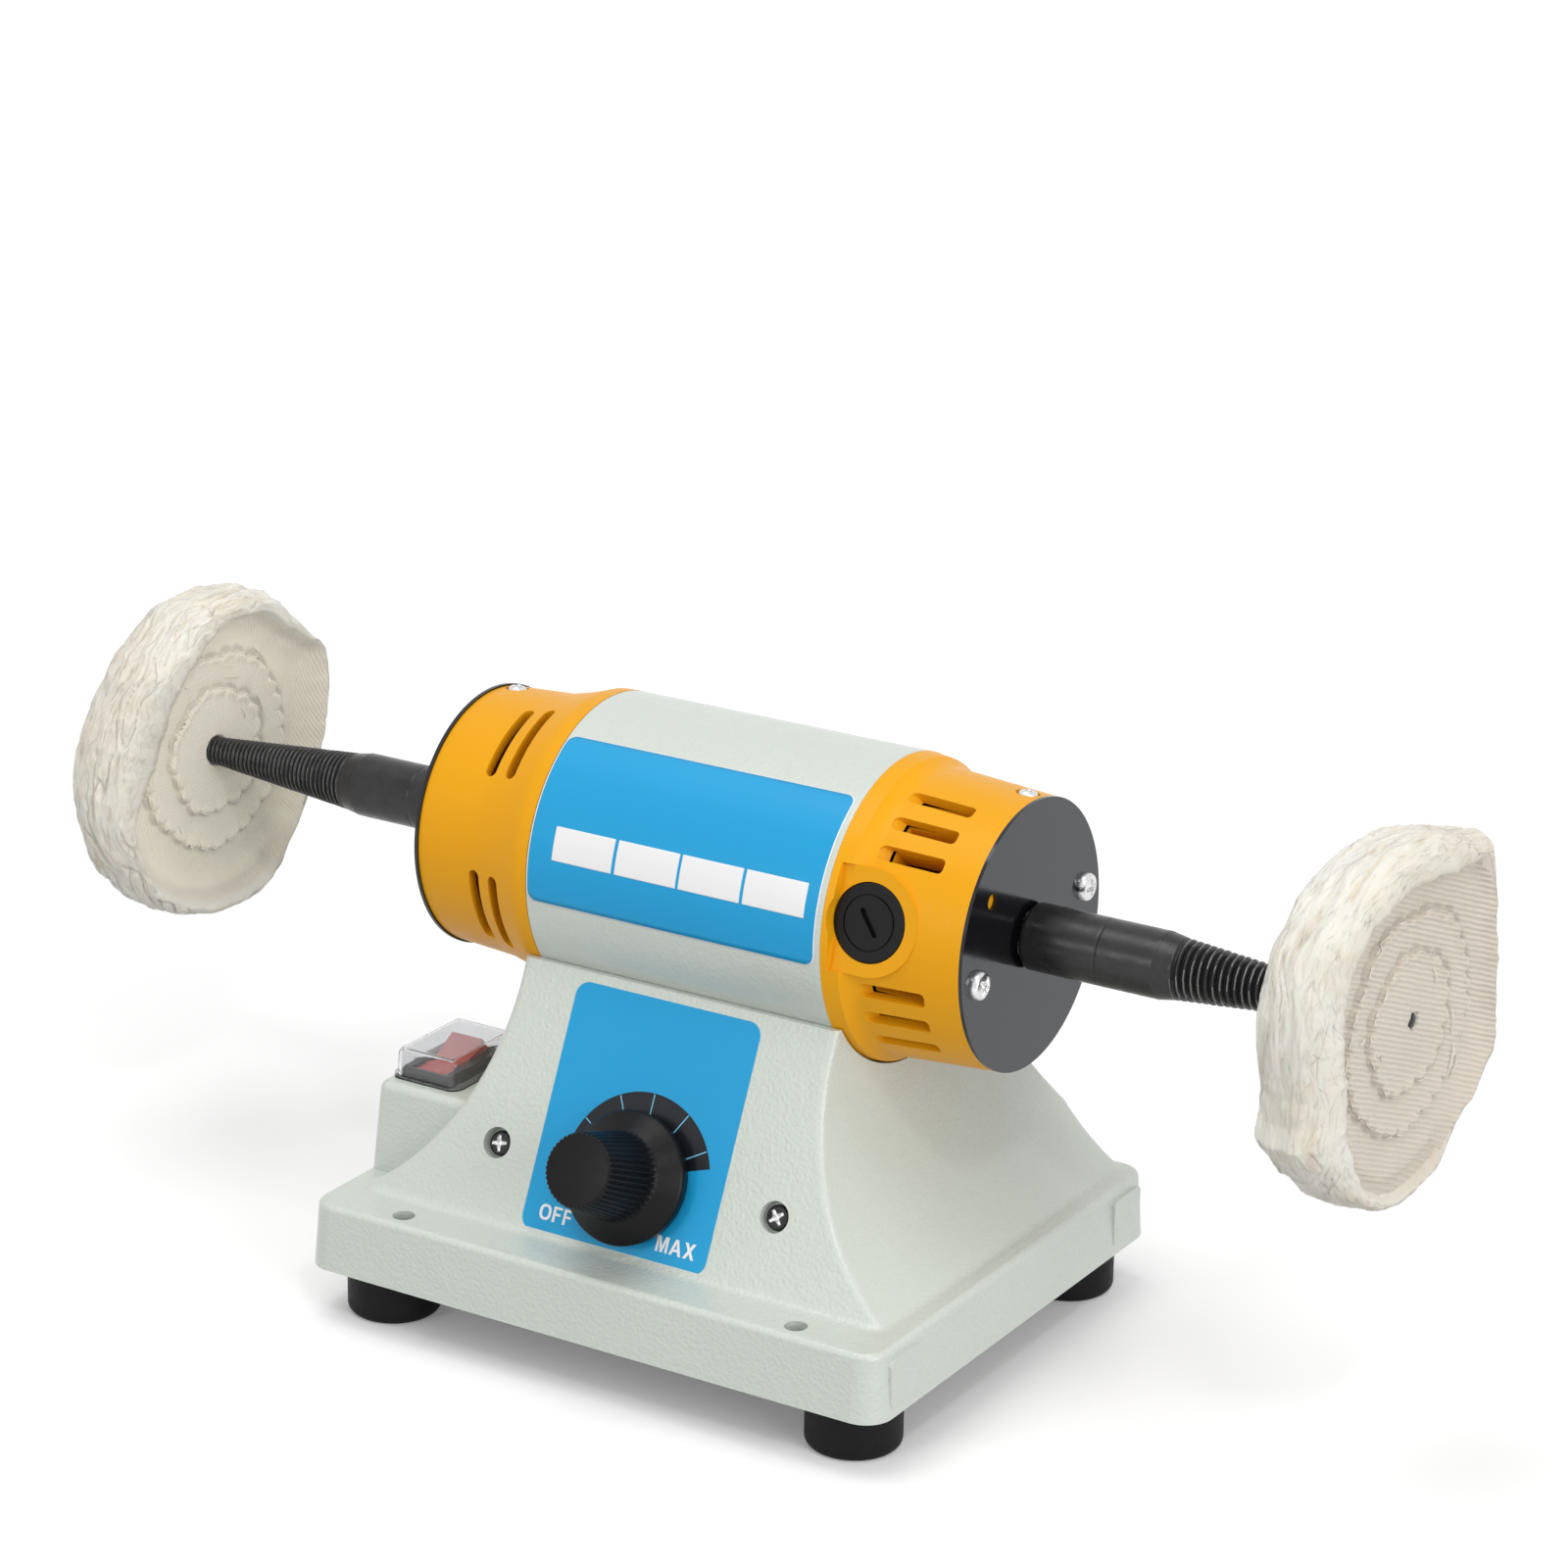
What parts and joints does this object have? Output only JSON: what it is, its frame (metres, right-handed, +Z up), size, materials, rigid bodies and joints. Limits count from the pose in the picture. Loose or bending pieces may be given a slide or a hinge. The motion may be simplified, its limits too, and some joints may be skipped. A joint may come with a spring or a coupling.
{
  "type": "bench polishing machine",
  "caption": "Bench polishing machine: a motor drum on a cast base with swept sides, tapered screw spindles carrying sewn cloth buffs, a speed knob and a covered rocker switch.",
  "frame": {"origin": "on the bench, under the middle of the object's overall box and of its base casting", "axes": "+X along the motor shaft, away from the end with the switch; -Y towards the operator; +Z up"},
  "size_m": [0.405, 0.162, 0.173],
  "materials": {
    "grey_paint": "satin",
    "black_sheet": "satin",
    "rubber": "matte",
    "zinc_steel": "satin",
    "yellow_plastic": "gloss",
    "black_plate": "gloss",
    "blackened_steel": "satin",
    "bearing_steel": "polished",
    "lamination_steel": "satin",
    "copper": "satin",
    "brass": "satin",
    "carbon": "matte",
    "spring_steel": "polished",
    "black_plastic": "satin",
    "red_plastic": "gloss",
    "clear_plastic": "gloss",
    "circuit_board": "satin",
    "component_plastic": "satin",
    "ferrite": "matte",
    "aluminium": "satin",
    "buff_cloth": "matte"
  },
  "bodies": {
    "frame": {"base_casting": "grey_paint", "bottom_cover": "black_sheet", "capacitor": "component_plastic", "case_bolts": "zinc_steel", "choke": "ferrite", "control_board": "circuit_board", "cord_gland": "rubber", "field_coils": "copper", "foot_front_left": "rubber", "foot_front_right": "rubber", "foot_rear_left": "rubber", "foot_rear_right": "rubber", "foot_screws": "zinc_steel", "foot_washers": "zinc_steel", "front_brush_cap": "black_plastic", "front_brush_holder": "brass", "front_brush_spring": "spring_steel", "heat_sink": "aluminium", "left_bearing_outer_ring": "bearing_steel", "left_end_housing": "yellow_plastic", "left_end_plate": "black_plate", "lock_screws": "zinc_steel", "motor_case": "grey_paint", "panel_screw_nuts": "zinc_steel", "panel_screws": "blackened_steel", "plate_screws": "zinc_steel", "potentiometer_body": "black_plastic", "potentiometer_nut": "zinc_steel", "rear_brush_cap": "black_plastic", "rear_brush_holder": "brass", "rear_brush_spring": "spring_steel", "right_bearing_outer_ring": "bearing_steel", "right_end_housing": "yellow_plastic", "right_end_plate": "black_plate", "stator_core": "lamination_steel", "switch_body": "black_plastic", "switch_cover": "clear_plastic", "switch_terminals": "brass", "tie_rods": "zinc_steel", "triac": "component_plastic"},
    "rotor": {"motor_shaft": "zinc_steel", "armature_core": "lamination_steel", "armature_winding": "copper", "commutator": "copper", "cooling_fan": "black_plastic", "left_bearing_inner_ring": "bearing_steel", "right_bearing_inner_ring": "bearing_steel", "left_spindle": "blackened_steel", "right_spindle": "blackened_steel", "left_buff": "buff_cloth", "right_buff": "buff_cloth"},
    "knob": {"speed_knob": "black_plastic", "potentiometer_shaft": "zinc_steel"},
    "rocker": {"switch_rocker": "red_plastic"},
    "front_brush": {"front_carbon_brush": "carbon"},
    "rear_brush": {"rear_carbon_brush": "carbon"}
  },
  "joints": [
    {"name": "rotor_spin", "type": "hinge", "parent": "frame", "child": "rotor", "pos_m": [0, 0.0082, 0.1234], "axis": [1, 0, 0], "continuous": true},
    {"name": "speed_knob_turn", "type": "hinge", "parent": "frame", "child": "knob", "pos_m": [0, -0.04992, 0.05376], "axis": [0, 0.9089, -0.4169], "range_deg": [0, 280]},
    {"name": "switch_rocker_tilt", "type": "hinge", "parent": "frame", "child": "rocker", "pos_m": [-0.07585, -0.02664, 0.0596], "axis": [-1, 0, 0], "range_deg": [0, 30]},
    {"name": "front_brush_slide", "type": "slide", "parent": "frame", "child": "front_brush", "axis": [0, -0.972, 0.2351], "range_m": [0, 0.003], "stiffness_N_per_m": 300, "springref_m": -0.005, "deforming": ["front_brush_spring"]},
    {"name": "rear_brush_slide", "type": "slide", "parent": "frame", "child": "rear_brush", "axis": [0, 0.972, -0.2351], "range_m": [0, 0.003], "stiffness_N_per_m": 300, "springref_m": -0.005, "deforming": ["rear_brush_spring"]}
  ]
}
